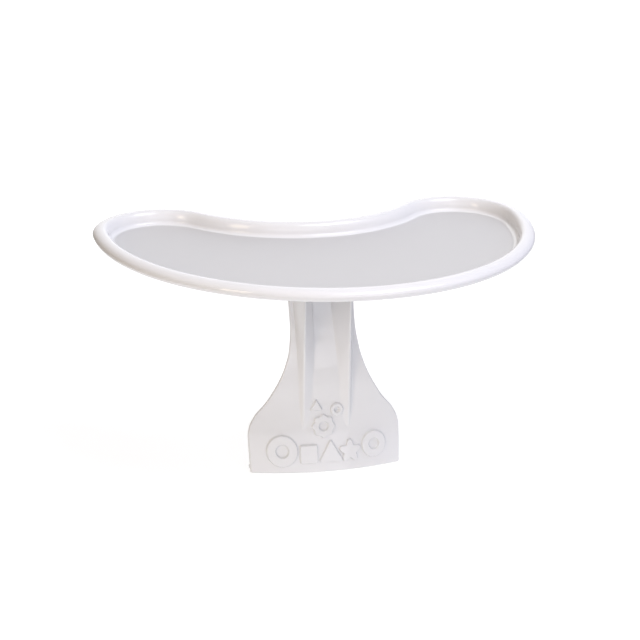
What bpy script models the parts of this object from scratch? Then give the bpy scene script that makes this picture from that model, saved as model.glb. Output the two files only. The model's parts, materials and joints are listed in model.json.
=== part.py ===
"""Clip-on play tray for an infant floor seat.

A kidney-shaped tray stands on a moulded stem. The stem ends in a wide curved foot plate that lies against the
front of the seat, and a lip behind the plate's bottom edge hooks under the seat's base. The two mouldings are
joined under the tray: the stem's head flange fits into a socket wall, and four screws go up into bosses.

Frame: metres, +Z up, the user's side is +Y. The origin is under the middle of the tray, at the underside of
the hook lip. The width runs along X.
"""

from math import atan2, ceil, cos, exp, pi, sin, sqrt

import bmesh
import bpy
from mathutils import Vector

# ---- Driving dimensions --------------------------------------------------------------------------
TRAY_WIDTH = 0.432          # outside, end to end
OVERALL_HEIGHT = 0.234      # underside of the hook lip to the crest of the rim
WALL = 0.003                # wall of both mouldings
JOINT_GAP = 0.0003          # between two pieces that touch
CUTTER_OVERRUN = 0.002      # how far a cutting solid runs past the face that it opens

# Tray outline, from tangent arcs: a half circle at the front, a lobe at each end, a hollow arc at the back
FRONT_RADIUS = TRAY_WIDTH / 2
LOBE_RADIUS = 0.0675
REAR_RADIUS = 0.1338

# Rim section, as distances in from the outer edge and heights from the rim's mid height
RIM_CREST = 0.0095          # crest in from the outer edge
RIM_HALF_HEIGHT = 0.006
RIM_NECK = 0.0158           # inside face of the bead at its steepest
RIM_NECK_DROP = 0.0034      # that place under the rim's mid height
RIM_FOOT = 0.0215           # where the cove inside the bead has run out into the floor
FLOOR_DROP = 0.0072         # floor's top face under the rim's mid height
CURL_END = pi * 1.2         # how far the bead's outer half curls round and under
CURL_THICKNESS = 0.0024     # wall at the curl's free edge
CURL_NOSE = 0.4             # middle of the rounded free edge, as a share of that wall
CURL_NOSE_DROP = 0.0007     # and how far it hangs under the edge's outer side
CURL_INNER_DROP = 0.0006
OUTLINE_SAG = 0.00015       # how far a straight facet may fall inside a round outline
COVE_SEGMENTS = 4
BEAD_SEGMENTS = 5
CURL_SEGMENTS = 7
HOLLOW_SEGMENTS = 3

# Foot plate and stem
PLAN_RADIUS = 0.277         # curvature of the whole stem in plan, about a vertical axis
STEM_TOP = 0.209            # top of the stem's wall, inside the head flange
STEM_RING_SPACING = 0.0085
PANEL_FACETS = 6            # across the plain part of the wall beside each rib
CORNER_RADIUS = 0.001       # bottom corners of the foot plate
CORNER_STEPS = (0.2, 0.5, 1.0)
LIP_DEPTH = 0.0135          # hook lip behind the foot plate
LIP_THICKNESS = 0.0035
LIP_HALF_WIDTH = 0.0747
LIP_CORNER = 0.0015
LIP_CORNER_SEGMENTS = 4
LIP_FACETS = 14
LIP_ROOT = 0.0018           # how deep the lip is rooted in the foot plate
LIP_FILLET = 0.0020         # sloping root between the lip's top face and the foot plate
LIP_FILLET_RUN = 0.0035     # where that slope ends, behind the plate

# Ribs on the stem
RIB_X = 0.023               # crest line to the middle
RIB_CREST_FOOT = 0.0036     # crest line's Y at height 0
RIB_CREST_LEAN = 0.026      # and how far it goes back for each metre up
RIB_HALF_BASE = 0.0074      # half width of a low but full-grown rib
RIB_GROWTH = 0.003          # rib height over which it grows to that width
RIB_FLARE = 0.085           # and how much wider it gets for each metre of rib height
RIB_LEAST_BASE = 0.0004     # half width left where a rib has run out
RIB_INNER_SHARE = 1.2       # the face towards the middle slopes gently, the outer face is steep
RIB_OUTER_SHARE = 0.45
RIB_CREST_REACH = 0.0035    # rounding of the rib's crest, along each face
RIB_FOOT_REACH = 0.006      # rounding of the rib's feet
CREST_SEGMENTS = 4
FOOT_SEGMENTS = 3
EDGE_MARGIN = 0.002         # flat margin left beside a rib where the stem is narrow

# Raised ornament on the foot plate: play shapes as (name, X, height of the middle, size, radius of a hole).
# The size is the outer radius of a ring, flower or star, and for the others the distance from the middle to
# the middle of a side.
ORNAMENT_RISE = 0.0022
ORNAMENT_ROOT = 0.0012      # how deep each shape is rooted in the plate
ORNAMENT = [("ring_left", -0.0445, 0.0215, 0.0150, 0.0062), ("square", -0.0185, 0.0180, 0.0088, 0.0),
            ("triangle", 0.0035, 0.0170, 0.0072, 0.0), ("star", 0.0230, 0.0185, 0.0112, 0.0),
            ("ring_right", 0.0480, 0.0225, 0.0125, 0.0052), ("flower", -0.0030, 0.0445, 0.0115, 0.0046),
            ("ring_small", 0.0105, 0.0600, 0.0062, 0.0026), ("triangle_small", -0.0100, 0.0640, 0.0036, 0.0)]
SQUARE_SHARPNESS = 9
TRIANGLE_SHARPNESS = 7
STAR_DEPTH = 0.2
FLOWER_DEPTH = 0.07

# Head flange, socket wall and screws
FLANGE_HALF_WIDTH = 0.050
FLANGE_FRONT = 0.005
FLANGE_BACK = 0.0505
FLANGE_THICKNESS = 0.0035
FLANGE_CORNER = 0.006
FLANGE_BOTTOM = 0.207
SOCKET_GAP = 0.0004         # all round, between the head flange and the socket wall
SOCKET_WALL = 0.0024
BOSS_RADIUS = 0.0046
PILOT_RADIUS = 0.0019
PILOT_INTO_FLOOR = 0.0006
PILOT_BEYOND_SCREW = 0.0004
CLEARANCE_RADIUS = 0.0022
SCREW_X = 0.042
SCREW_FRONT_Y = 0.0135
SCREW_REAR_Y = 0.042
SHANK_RADIUS = 0.0016
SHANK_POINT = 0.0022        # length of the tapered point
POINT_RADIUS = 0.0004
HEAD_RADIUS = 0.0038
HEAD_HEIGHT = 0.0024
HEAD_DOME = [(0.62, 0.0), (0.88, 0.22), (1.0, 0.62), (1.0, 1.0)]    # shares of the head's radius and height
SCREW_SIDES = 20
RECESS_DEPTH = 0.0014
RECESS_WIDTH = 0.0010
RECESS_SPAN = 0.0042

# ---- Worked out from the above -------------------------------------------------------------------
RIM_Z = OVERALL_HEIGHT - RIM_HALF_HEIGHT
FLOOR_TOP = RIM_Z - FLOOR_DROP
FLOOR_BOTTOM = FLOOR_TOP - WALL
TRAY_DEPTH = FRONT_RADIUS + LOBE_RADIUS
LOBE_X = FRONT_RADIUS - LOBE_RADIUS
LOBE_Y = TRAY_DEPTH / 2 - LOBE_RADIUS
REAR_Y = LOBE_Y + sqrt((REAR_RADIUS + LOBE_RADIUS) ** 2 - LOBE_X ** 2)
FLANGE_TOP = FLANGE_BOTTOM + FLANGE_THICKNESS
BOSS_BOTTOM = FLANGE_TOP + JOINT_GAP
SHANK_TOP = FLOOR_BOTTOM + PILOT_INTO_FLOOR - PILOT_BEYOND_SCREW

# Side view of the stem's middle line, and half width of the stem: (height, value), joined by a smooth curve
MIDDLE_LINE = [(-0.002, -0.0081), (0.020, -0.0018), (0.043, 0.0040), (0.067, 0.0077), (0.092, 0.0103),
               (0.115, 0.0150), (0.136, 0.0235), (0.158, 0.0327), (0.185, 0.0405), (0.212, 0.0440)]
HALF_WIDTH = [(0.0, 0.0752), (0.034, 0.0762), (0.043, 0.0749), (0.055, 0.0692), (0.067, 0.0592),
              (0.080, 0.0509), (0.092, 0.0444), (0.104, 0.0394), (0.120, 0.0348), (0.142, 0.0323),
              (0.165, 0.0325), (0.212, 0.0355)]

WHITE = (0.80, 0.80, 0.79, 1.0)
STEEL = (0.55, 0.56, 0.58, 1.0)
PLASTIC_ROUGHNESS = 0.22
STEEL_ROUGHNESS = 0.35
SHARP_ANGLE = pi / 5        # faces that meet at more than this show an edge


# ---- Helpers -------------------------------------------------------------------------------------
def smooth_curve(points, at):
    """Value at a height, on the monotone cubic through (height, value) points."""
    slopes = [(b[1] - a[1]) / (b[0] - a[0]) for a, b in zip(points, points[1:])]
    tangents = [slopes[0]]
    for before, after in zip(slopes, slopes[1:]):
        tangents.append(2 * before * after / (before + after) if before * after > 0 else 0.0)
    tangents.append(slopes[-1])
    i = 0
    while i < len(points) - 2 and at > points[i + 1][0]:
        i += 1
    step = points[i + 1][0] - points[i][0]
    t = (at - points[i][0]) / step
    return (points[i][1] * (2 * t ** 3 - 3 * t ** 2 + 1)
            + tangents[i] * step * (t ** 3 - 2 * t ** 2 + t)
            + points[i + 1][1] * (3 * t ** 2 - 2 * t ** 3)
            + tangents[i + 1] * step * (t ** 3 - t ** 2))


def material(name, colour, roughness, metallic=0.0):
    made = bpy.data.materials.new(name)
    made.use_nodes = True
    shader = made.node_tree.nodes["Principled BSDF"]
    shader.inputs["Base Color"].default_value = colour
    shader.inputs["Roughness"].default_value = roughness
    shader.inputs["Metallic"].default_value = metallic
    made.diffuse_color = colour
    return made


def make_object(name, mesh_builder, finish=None):
    """Turns a bmesh into an object with outward faces; with a finish it's a piece, without one a helper."""
    bmesh.ops.recalc_face_normals(mesh_builder, faces=mesh_builder.faces)
    mesh = bpy.data.meshes.new(name)
    mesh_builder.to_mesh(mesh)
    mesh_builder.free()
    made = bpy.data.objects.new(name, mesh)
    bpy.context.scene.collection.objects.link(made)
    if finish:
        mesh.materials.append(finish)
        mesh.shade_smooth()
        mesh.set_sharp_from_angle(angle=SHARP_ANGLE)
    else:
        made.hide_render = True
        made.display_type = "WIRE"
    return made


def loft(loops):
    """A closed solid through equal rings of points, capped at both ends."""
    bm = bmesh.new()
    rings = [[bm.verts.new(point) for point in loop] for loop in loops]
    for low, high in zip(rings, rings[1:]):
        for i in range(len(low)):
            j = (i + 1) % len(low)
            bm.faces.new((low[i], low[j], high[j], high[i]))
    bm.faces.new(list(reversed(rings[0])))
    bm.faces.new(rings[-1])
    return bm


def boolean(target, tool, operation):
    modifier = target.modifiers.new(f"{operation.lower()}_{tool.name}", "BOOLEAN")
    modifier.operation = operation
    modifier.object = tool
    modifier.solver = "EXACT"


def rounded_rectangle(half_width, front, back, corner, segments=6):
    """Plan outline of a plate, anticlockwise."""
    centres = [(half_width - corner, back - corner), (corner - half_width, back - corner),
               (corner - half_width, front + corner), (half_width - corner, front + corner)]
    outline = []
    for quarter, (x, y) in enumerate(centres):
        for i in range(segments + 1):
            angle = (quarter + i / segments) * pi / 2
            outline.append((x + corner * cos(angle), y + corner * sin(angle)))
    return outline


def prism(outline, low, high):
    return loft([[(x, y, z) for x, y in outline] for z in (low, high)])


def cylinder(radius, low, high, x, y, sides=24):
    angles = [2 * pi * i / sides for i in range(sides)]
    return prism([(x + radius * cos(a), y + radius * sin(a)) for a in angles], low, high)


# ---- Tray ----------------------------------------------------------------------------------------
def outline_stations():
    """Stations round the tray's edge: arc centre, radius, side (+1 bulging, -1 hollow) and angle."""
    lobe_turn = atan2(REAR_Y - LOBE_Y, -LOBE_X)
    rear_turn = atan2(LOBE_Y - REAR_Y, LOBE_X)
    arcs = [((0, LOBE_Y), FRONT_RADIUS, 1, -pi, -pi / 2),
            ((0, LOBE_Y), FRONT_RADIUS, 1, -pi / 2, 0),
            ((LOBE_X, LOBE_Y), LOBE_RADIUS, 1, 0, pi / 2),
            ((LOBE_X, LOBE_Y), LOBE_RADIUS, 1, pi / 2, lobe_turn),
            ((0, REAR_Y), REAR_RADIUS, -1, rear_turn, -pi / 2),
            ((0, REAR_Y), REAR_RADIUS, -1, -pi / 2, -pi - rear_turn),
            ((-LOBE_X, LOBE_Y), LOBE_RADIUS, 1, pi - lobe_turn, pi / 2),
            ((-LOBE_X, LOBE_Y), LOBE_RADIUS, 1, pi / 2, pi)]
    stations = []
    for centre, radius, side, start, end in arcs:
        count = ceil(abs(end - start) * sqrt(radius / (8 * OUTLINE_SAG)))
        for i in range(count):
            stations.append((centre, radius, side, start + (end - start) * i / count))
    return stations


def edge_ring(inset, height):
    """The tray's outline drawn in by an inset, at a height."""
    ring = []
    for (x, y), radius, side, angle in outline_stations():
        reach = radius - side * inset
        ring.append((x + reach * cos(angle), y + reach * sin(angle), height))
    return ring


def arc(centre, reach, start, end, segments):
    """Points of an elliptical arc from one angle to another, both ends included."""
    points = []
    for i in range(segments + 1):
        angle = start + (end - start) * i / segments
        points.append((centre[0] + reach[0] * cos(angle), centre[1] + reach[1] * sin(angle)))
    return points


def rim_section():
    """Inset and height round the rim: up the cove, over the bead, round the curl, and back to the floor."""
    neck = -RIM_NECK_DROP
    rise = RIM_HALF_HEIGHT - neck
    cove = arc((RIM_FOOT, neck), (RIM_FOOT - RIM_NECK, FLOOR_DROP + neck), -pi / 2, -pi, COVE_SEGMENTS)
    inner = arc((RIM_CREST, neck), (RIM_NECK - RIM_CREST, rise), 0, pi / 2, BEAD_SEGMENTS)
    outer = arc((RIM_CREST, 0.0), (RIM_CREST, RIM_HALF_HEIGHT), pi / 2, CURL_END, CURL_SEGMENTS)
    edge = outer[-1]
    curl = [(edge[0] + CURL_THICKNESS * CURL_NOSE, edge[1] - CURL_NOSE_DROP),
            (edge[0] + CURL_THICKNESS, edge[1] - CURL_INNER_DROP)]
    hollow_outer = arc((RIM_CREST, neck), (RIM_CREST - curl[1][0], rise - WALL), pi, pi / 2, HOLLOW_SEGMENTS)
    hollow_inner = arc((RIM_CREST, neck), (RIM_NECK - RIM_CREST - WALL, rise - WALL), pi / 2, 0,
                       HOLLOW_SEGMENTS)
    under_cove = arc((RIM_FOOT, neck), (RIM_FOOT - RIM_NECK + WALL, FLOOR_DROP + neck + WALL), pi, pi * 1.5,
                     COVE_SEGMENTS)
    return cove + inner[1:] + outer[1:] + curl + hollow_outer + hollow_inner[1:] + under_cove[1:]


def tray_shell():
    return loft([edge_ring(inset, RIM_Z + height) for inset, height in rim_section()])


def socket_wall(top):
    """A wall round the place of the head flange, open at the bottom, up to a height inside the floor."""
    outlines = []
    for grow in (SOCKET_GAP, SOCKET_GAP + SOCKET_WALL):
        outlines.append(rounded_rectangle(FLANGE_HALF_WIDTH + grow, FLANGE_FRONT - grow, FLANGE_BACK + grow,
                                          FLANGE_CORNER + grow))
    inner, outer = outlines
    bm = bmesh.new()
    rings = []
    for outline, z in ((inner, FLANGE_BOTTOM), (outer, FLANGE_BOTTOM), (outer, top), (inner, top)):
        rings.append([bm.verts.new((x, y, z)) for x, y in outline])
    for a, b in zip(rings, rings[1:] + rings[:1]):
        for i in range(len(a)):
            j = (i + 1) % len(a)
            bm.faces.new((a[i], a[j], b[j], b[i]))
    return bm


def build_tray(finish):
    tray = make_object("tray", tray_shell(), finish)
    into_floor = FLOOR_BOTTOM + WALL / 2
    boolean(tray, make_object("socket_wall", socket_wall(into_floor)), "UNION")
    for name, x, y in screw_places():
        boss = cylinder(BOSS_RADIUS, BOSS_BOTTOM, into_floor, x, y)
        boolean(tray, make_object(f"boss_{name}", boss), "UNION")
    for name, x, y in screw_places():
        pilot = cylinder(PILOT_RADIUS, BOSS_BOTTOM - CUTTER_OVERRUN, FLOOR_BOTTOM + PILOT_INTO_FLOOR, x, y)
        boolean(tray, make_object(f"pilot_{name}", pilot), "DIFFERENCE")
    return tray


# ---- Stem ----------------------------------------------------------------------------------------
def sheet_y(x, z):
    """Y of the stem's front face without its ribs."""
    return smooth_curve(MIDDLE_LINE, z) + PLAN_RADIUS - sqrt(PLAN_RADIUS ** 2 - x ** 2)


def half_width(z):
    width = smooth_curve(HALF_WIDTH, z)
    if z < CORNER_RADIUS:
        width -= CORNER_RADIUS - sqrt(CORNER_RADIUS ** 2 - (CORNER_RADIUS - z) ** 2)
    return width


def rounded_corner(before, corner, after, reach, segments):
    """Points of a curve that rounds a corner off, taking less than half of each side."""
    most = 0.45
    start = corner + (before - corner).normalized() * min(reach, (before - corner).length * most)
    end = corner + (after - corner).normalized() * min(reach, (after - corner).length * most)
    points = []
    for i in range(segments + 1):
        t = i / segments
        points.append(start * (1 - t) ** 2 + corner * 2 * t * (1 - t) + end * t * t)
    return points


def half_section(z, thickness):
    """Right half of the stem's section at a height, from the middle out, set back by a thickness."""
    edge = half_width(z)
    crest_y = RIB_CREST_FOOT + RIB_CREST_LEAN * z
    rib_height = max(sheet_y(RIB_X, z) - crest_y, 0.0)
    base = RIB_HALF_BASE * (1 - exp(-rib_height / RIB_GROWTH)) + RIB_FLARE * rib_height + RIB_LEAST_BASE
    inner = RIB_X - base * RIB_INNER_SHARE
    outer = min(RIB_X + base * RIB_OUTER_SHARE, edge - EDGE_MARGIN)
    corners = [Vector((0.0, sheet_y(0.0, z))), Vector((inner, sheet_y(inner, z))),
               Vector((RIB_X, sheet_y(RIB_X, z) - rib_height)), Vector((outer, sheet_y(outer, z)))]
    for i in range(1, PANEL_FACETS + 1):
        x = outer + (edge - outer) * i / PANEL_FACETS
        corners.append(Vector((x, sheet_y(x, z))))
    moved = []
    for i, corner in enumerate(corners):
        before = (corner - corners[i - 1]).normalized() if i else Vector((1.0, 0.0))
        after = (corners[i + 1] - corner).normalized() if i < len(corners) - 1 else before
        sides = [Vector((-way.y, way.x)) for way in (before, after)]
        moved.append(corner + (sides[0] + sides[1]) * thickness / (1 + sides[0].dot(sides[1])))
    points = [moved[0], (moved[0] + moved[1]) / 2]
    points += rounded_corner(moved[0], moved[1], moved[2], RIB_FOOT_REACH, FOOT_SEGMENTS)
    points += rounded_corner(moved[1], moved[2], moved[3], RIB_CREST_REACH, CREST_SEGMENTS)
    points += rounded_corner(moved[2], moved[3], moved[4], RIB_FOOT_REACH, FOOT_SEGMENTS)
    return points + moved[4:]


def section_ring(z):
    """Closed ring round the stem's wall at a height: the front face left to right, then the back face."""
    front = half_section(z, 0.0)
    back = half_section(z, WALL)
    across_front = [(-p.x, p.y, z) for p in reversed(front[1:])] + [(p.x, p.y, z) for p in front]
    across_back = [(p.x, p.y, z) for p in reversed(back)] + [(-p.x, p.y, z) for p in back[1:]]
    return across_front + across_back


def stem_heights():
    heights = [CORNER_RADIUS * share for share in CORNER_STEPS]
    count = round((STEM_TOP - CORNER_RADIUS) / STEM_RING_SPACING)
    heights += [CORNER_RADIUS + (STEM_TOP - CORNER_RADIUS) * i / count for i in range(1, count + 1)]
    return heights


def hook_lip():
    """A strip that follows the foot plate's curve: sections across it, lofted from one end to the other."""
    straight = LIP_HALF_WIDTH - LIP_CORNER
    places = [straight * (2 * i / LIP_FACETS - 1) for i in range(LIP_FACETS + 1)]
    rounded = []
    for i in range(1, LIP_CORNER_SEGMENTS + 1):
        rounded.append(straight + LIP_CORNER * sin(pi / 2 * i / LIP_CORNER_SEGMENTS))
    sections = []
    for x in [-place for place in reversed(rounded)] + places + rounded:
        beyond = max(abs(x) - straight, 0.0)
        plate_back = sheet_y(x, 0.0) + WALL
        free_edge = plate_back + LIP_DEPTH - LIP_CORNER + sqrt(max(LIP_CORNER ** 2 - beyond ** 2, 0.0))
        front = plate_back - LIP_ROOT
        root_top = LIP_THICKNESS + LIP_FILLET
        root_back = sheet_y(x, root_top) + WALL
        sections.append([(x, front, 0.0), (x, free_edge, 0.0), (x, free_edge, LIP_THICKNESS),
                         (x, plate_back + LIP_FILLET_RUN, LIP_THICKNESS), (x, root_back, root_top),
                         (x, front, root_top)])
    return loft(sections)


def rounded_polygon(sides, reach, sharpness, turn):
    """Polar radius of a soft-cornered regular polygon; reach is from its middle to the middle of a side."""
    def radius(angle):
        total = 0.0
        for i in range(sides):
            total += max(cos(angle - turn - 2 * pi * i / sides), 0.0) ** sharpness
        return reach / total ** (1 / sharpness)
    return radius


def petals(count, reach, depth, turn):
    """Polar radius of a round flower or soft star."""
    return lambda angle: reach * (1 - depth + depth * cos(count * (angle - turn)))


def on_plate(x, z, rise):
    """Point on the stem's front face at a place, moved out along the face's normal."""
    step = 0.0005   # between the two places that show the face's slope
    along_x = Vector((step, sheet_y(x + step, z) - sheet_y(x, z), 0.0))
    along_z = Vector((0.0, sheet_y(x, z + step) - sheet_y(x, z), step))
    out = along_x.cross(along_z).normalized()
    return Vector((x, sheet_y(x, z), z)) + out * rise


def raised_shape(x, z, radius, hole, points=28):
    """A solid that follows the plate's curve: a polar outline round a place, with a round hole or none."""
    bm = bmesh.new()
    faces = []
    for rise in (-ORNAMENT_ROOT, ORNAMENT_RISE):
        rings = []
        for scale in (0.0, 1.0):
            ring = []
            for i in range(points):
                angle = 2 * pi * i / points
                reach = hole + (radius(angle) - hole) * scale
                ring.append(on_plate(x + reach * cos(angle), z + reach * sin(angle), rise))
            rings.append([bm.verts.new(point) for point in ring] if hole or scale else
                         [bm.verts.new(ring[0])] * points)
        faces.append(rings)
    (low_in, low_out), (high_in, high_out) = faces
    for i in range(points):
        j = (i + 1) % points
        bm.faces.new((low_out[i], low_out[j], high_out[j], high_out[i]))
        if hole:
            bm.faces.new((low_in[j], low_in[i], high_in[i], high_in[j]))
            bm.faces.new((high_in[i], high_out[i], high_out[j], high_in[j]))
            bm.faces.new((low_in[j], low_out[j], low_out[i], low_in[i]))
        else:
            bm.faces.new((high_in[i], high_out[i], high_out[j]))
            bm.faces.new((low_in[i], low_out[j], low_out[i]))
    return bm


def shape_radius(name, size):
    """Polar radius of one of the play shapes."""
    kind = name.split("_")[0]
    if kind == "square":
        return rounded_polygon(4, size, SQUARE_SHARPNESS, 0.0)
    if kind == "triangle":
        return rounded_polygon(3, size, TRIANGLE_SHARPNESS, -pi / 2)
    if kind == "star":
        return petals(5, size, STAR_DEPTH, pi / 2)
    if kind == "flower":
        return petals(8, size, FLOWER_DEPTH, pi / 2)
    return lambda angle: size


def build_stem(finish):
    stem = make_object("stem", loft([section_ring(z) for z in stem_heights()]), finish)
    boolean(stem, make_object("hook_lip", hook_lip()), "UNION")
    for name, x, z, size, hole in ORNAMENT:
        shape = raised_shape(x, z, shape_radius(name, size), hole)
        boolean(stem, make_object(f"raised_{name}", shape), "UNION")
    outline = rounded_rectangle(FLANGE_HALF_WIDTH, FLANGE_FRONT, FLANGE_BACK, FLANGE_CORNER)
    boolean(stem, make_object("head_flange", prism(outline, FLANGE_BOTTOM, FLANGE_TOP)), "UNION")
    for name, x, y in screw_places():
        hole = cylinder(CLEARANCE_RADIUS, FLANGE_BOTTOM - CUTTER_OVERRUN, FLANGE_TOP + CUTTER_OVERRUN, x, y)
        boolean(stem, make_object(f"hole_{name}", hole), "DIFFERENCE")
    return stem


# ---- Screws --------------------------------------------------------------------------------------
def screw_places():
    places = []
    for row, y in (("front", SCREW_FRONT_Y), ("rear", SCREW_REAR_Y)):
        for side, x in (("left", -SCREW_X), ("right", SCREW_X)):
            places.append((f"{row}_{side}", x, y))
    return places


def build_screw(name, x, y, finish):
    """A self-tapping screw with a pan head and a cross recess, pointing up."""
    seat = FLANGE_BOTTOM - JOINT_GAP
    head = seat - HEAD_HEIGHT
    profile = [(HEAD_RADIUS * across, head + HEAD_HEIGHT * up) for across, up in HEAD_DOME]
    profile += [(SHANK_RADIUS, seat), (SHANK_RADIUS, SHANK_TOP - SHANK_POINT), (POINT_RADIUS, SHANK_TOP)]
    turns = [2 * pi * i / SCREW_SIDES for i in range(SCREW_SIDES)]
    loops = []
    for radius, z in profile:
        loops.append([(x + radius * cos(turn), y + radius * sin(turn), z) for turn in turns])
    screw = make_object(f"screw_{name}", loft(loops), finish)
    wide, narrow = RECESS_SPAN / 2, RECESS_WIDTH / 2
    cross = [(wide, narrow), (narrow, narrow), (narrow, wide), (-narrow, wide), (-narrow, narrow),
             (-wide, narrow), (-wide, -narrow), (-narrow, -narrow), (-narrow, -wide), (narrow, -wide),
             (narrow, -narrow), (wide, -narrow)]
    recess = prism([(x + a, y + b) for a, b in cross], head - CUTTER_OVERRUN, head + RECESS_DEPTH)
    boolean(screw, make_object(f"recess_{name}", recess), "DIFFERENCE")
    return screw


def main():
    for old in list(bpy.data.objects):
        bpy.data.objects.remove(old, do_unlink=True)
    white = material("white_gloss_plastic", WHITE, PLASTIC_ROUGHNESS)
    steel = material("zinc_steel", STEEL, STEEL_ROUGHNESS, 1.0)
    build_tray(white)
    build_stem(white.copy())
    for name, x, y in screw_places():
        build_screw(name, x, y, steel.copy())


main()
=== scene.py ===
"""Looks of a clip-on play tray for an infant floor seat: fine moulded surfaces, finishes, studio and camera.

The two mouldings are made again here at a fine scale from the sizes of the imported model, so that the rim, the
ribs, the raised ornament and every edge are truly round. The screws get turned heads and cut threads.
"""

import json
from math import atan2, ceil, cos, pi, radians, sin, sqrt

import bmesh
import bpy
import numpy as np
from mathutils import Matrix, Vector


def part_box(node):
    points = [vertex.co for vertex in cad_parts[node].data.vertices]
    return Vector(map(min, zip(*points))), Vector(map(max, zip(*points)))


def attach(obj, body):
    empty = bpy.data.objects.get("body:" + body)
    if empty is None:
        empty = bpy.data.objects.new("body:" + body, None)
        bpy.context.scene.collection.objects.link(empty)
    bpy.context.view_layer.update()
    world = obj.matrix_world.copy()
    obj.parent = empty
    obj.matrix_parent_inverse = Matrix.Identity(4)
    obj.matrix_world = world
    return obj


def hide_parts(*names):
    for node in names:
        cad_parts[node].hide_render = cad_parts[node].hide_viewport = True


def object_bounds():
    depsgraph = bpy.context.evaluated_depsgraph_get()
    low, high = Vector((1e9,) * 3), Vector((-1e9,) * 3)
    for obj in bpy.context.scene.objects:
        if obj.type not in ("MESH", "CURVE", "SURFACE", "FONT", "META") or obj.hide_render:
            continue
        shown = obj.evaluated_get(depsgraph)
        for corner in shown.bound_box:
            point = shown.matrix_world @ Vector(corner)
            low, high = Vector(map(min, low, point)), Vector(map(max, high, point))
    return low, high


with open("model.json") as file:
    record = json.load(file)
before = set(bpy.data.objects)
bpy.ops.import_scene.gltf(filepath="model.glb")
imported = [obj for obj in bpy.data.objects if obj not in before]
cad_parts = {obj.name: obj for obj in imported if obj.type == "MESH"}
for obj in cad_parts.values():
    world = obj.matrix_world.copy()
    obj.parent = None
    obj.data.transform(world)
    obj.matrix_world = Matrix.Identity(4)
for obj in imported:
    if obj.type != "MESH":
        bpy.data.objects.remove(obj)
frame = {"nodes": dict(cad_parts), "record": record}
CAD_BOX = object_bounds()
BODY = "root"
SHARP_ANGLE = 35            # degrees between two faces from which their edge stays sharp

# ---- Sizes from the frame ------------------------------------------------------------------------
TRAY_LOW, TRAY_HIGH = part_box("tray")
STEM_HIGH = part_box("stem")[1]
SCREW_LOW, SCREW_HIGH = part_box("screw_front_left")
MOUNTS = {mount["name"]: Vector(mount["pos_m"]) for mount in frame["record"]["mounts"]}

WALL = 0.003                # wall of both mouldings
FRONT_RADIUS = (TRAY_HIGH[0] - TRAY_LOW[0]) / 2
LOBE_RADIUS = TRAY_HIGH[1] - TRAY_LOW[1] - FRONT_RADIUS
REAR_RADIUS = 0.1338
LOBE_X = FRONT_RADIUS - LOBE_RADIUS
LOBE_Y = TRAY_HIGH[1] - LOBE_RADIUS
REAR_Y = LOBE_Y + sqrt((REAR_RADIUS + LOBE_RADIUS) ** 2 - LOBE_X ** 2)
FLOOR_TOP = MOUNTS["tray_floor"].z
FLOOR_BOTTOM = FLOOR_TOP - WALL

# Rim section, as distances in from the outer edge and heights from the rim's mid height
RIM_CREST = 0.0095          # crest in from the outer edge
RIM_HALF_HEIGHT = 0.006
RIM_NECK = 0.0158           # inside face of the bead at its steepest
RIM_NECK_DROP = 0.0034      # that place under the rim's mid height
RIM_FOOT = 0.0215           # where the cove inside the bead has run out into the floor
CURL_END = pi * 1.2         # how far the bead's outer half curls round and under
CURL_THICKNESS = 0.0024     # wall at the curl's free edge
CURL_NOSE = 0.0009          # how far the rounded free edge hangs under its middle
CURL_NOSE_RISE = 0.0001     # that middle over the end of the bead's outer side
CURL_NOSE_START = pi * 1.08
COVE_SEGMENTS = 14
BEAD_SEGMENTS = 14
CURL_SEGMENTS = 26
NOSE_SEGMENTS = 8
HOLLOW_SEGMENTS = 8
UNDER_SEGMENTS = 12
RIM_Z = TRAY_HIGH[2] - RIM_HALF_HEIGHT
FLOOR_DROP = RIM_Z - FLOOR_TOP
FLOOR_STEPS = (0.010, 0.0012, 0.0003)       # rings on the floor, in from the rim's foot
STATION_SPACING = 0.0022      # along the tray's edge

# Stem
PLAN_RADIUS = 0.277         # curvature of the whole stem in plan, about a vertical axis
EDGE_ROUND = 0.0012         # rounding of the stem's side edges
STEM_SHORT = 0.0015         # how far the wall ends under the top of the head flange
STEM_TOP = STEM_HIGH[2] - STEM_SHORT
FINE_TOP = 0.073            # up to here the rings are close together, for the ornament
FINE_SPACING = 0.0004
COARSE_BOTTOM = 0.0745      # from here up they are further apart
COARSE_RINGS = 84
FRONT_POINTS = 180          # across half of the front face, and of the back face
BACK_POINTS = 70
CORNER_RINGS = 7            # round the plate's bottom edge
EDGE_POINTS = 6             # round each edge of the wall
RIB_X = 0.023               # crest line to the middle
RIB_CREST_FOOT = 0.0036     # crest line's Y at height 0
RIB_CREST_LEAN = 0.026      # and how far it goes back for each metre up
RIB_HALF_BASE = 0.0074      # half width of a low but full-grown rib
RIB_GROWTH = 0.003          # rib height over which it grows to that width
RIB_FLARE = 0.085           # and how much wider it gets for each metre of rib height
RIB_INNER_SHARE = 1.20      # the face towards the middle slopes gently, the outer face is steep
RIB_OUTER_SHARE = 0.45
RIB_LEAST_BASE = 0.0004     # half width left where a rib has run out
RIB_LEAST_HEIGHT = 0.00001
RIB_FOOT_SOFTNESS = 0.0011  # rounding of a full-grown rib's feet
RIB_FOOT_GROWTH = 0.002     # rib height at which it has half of that
RIB_REST_SLOPE = 3          # how fast the rounding dies out where there is no rib
RIB_BACK_SOFTNESS = 1.5     # how much softer the feet are behind
CREST_ROUND = 0.0009
HOLLOW_ROUND = 0.0004
LIP_TOP = MOUNTS["hook_lip_top"].z
LIP_DEPTH = 0.0135          # hook lip behind the foot plate
LIP_HALF_WIDTH = 0.0747
LIP_CORNER = 0.0015
LIP_ROOT = 0.0014           # how deep the lip is rooted in the foot plate
LIP_MIDDLE = 0.006          # middle of its depth, from the plate's front face
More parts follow.
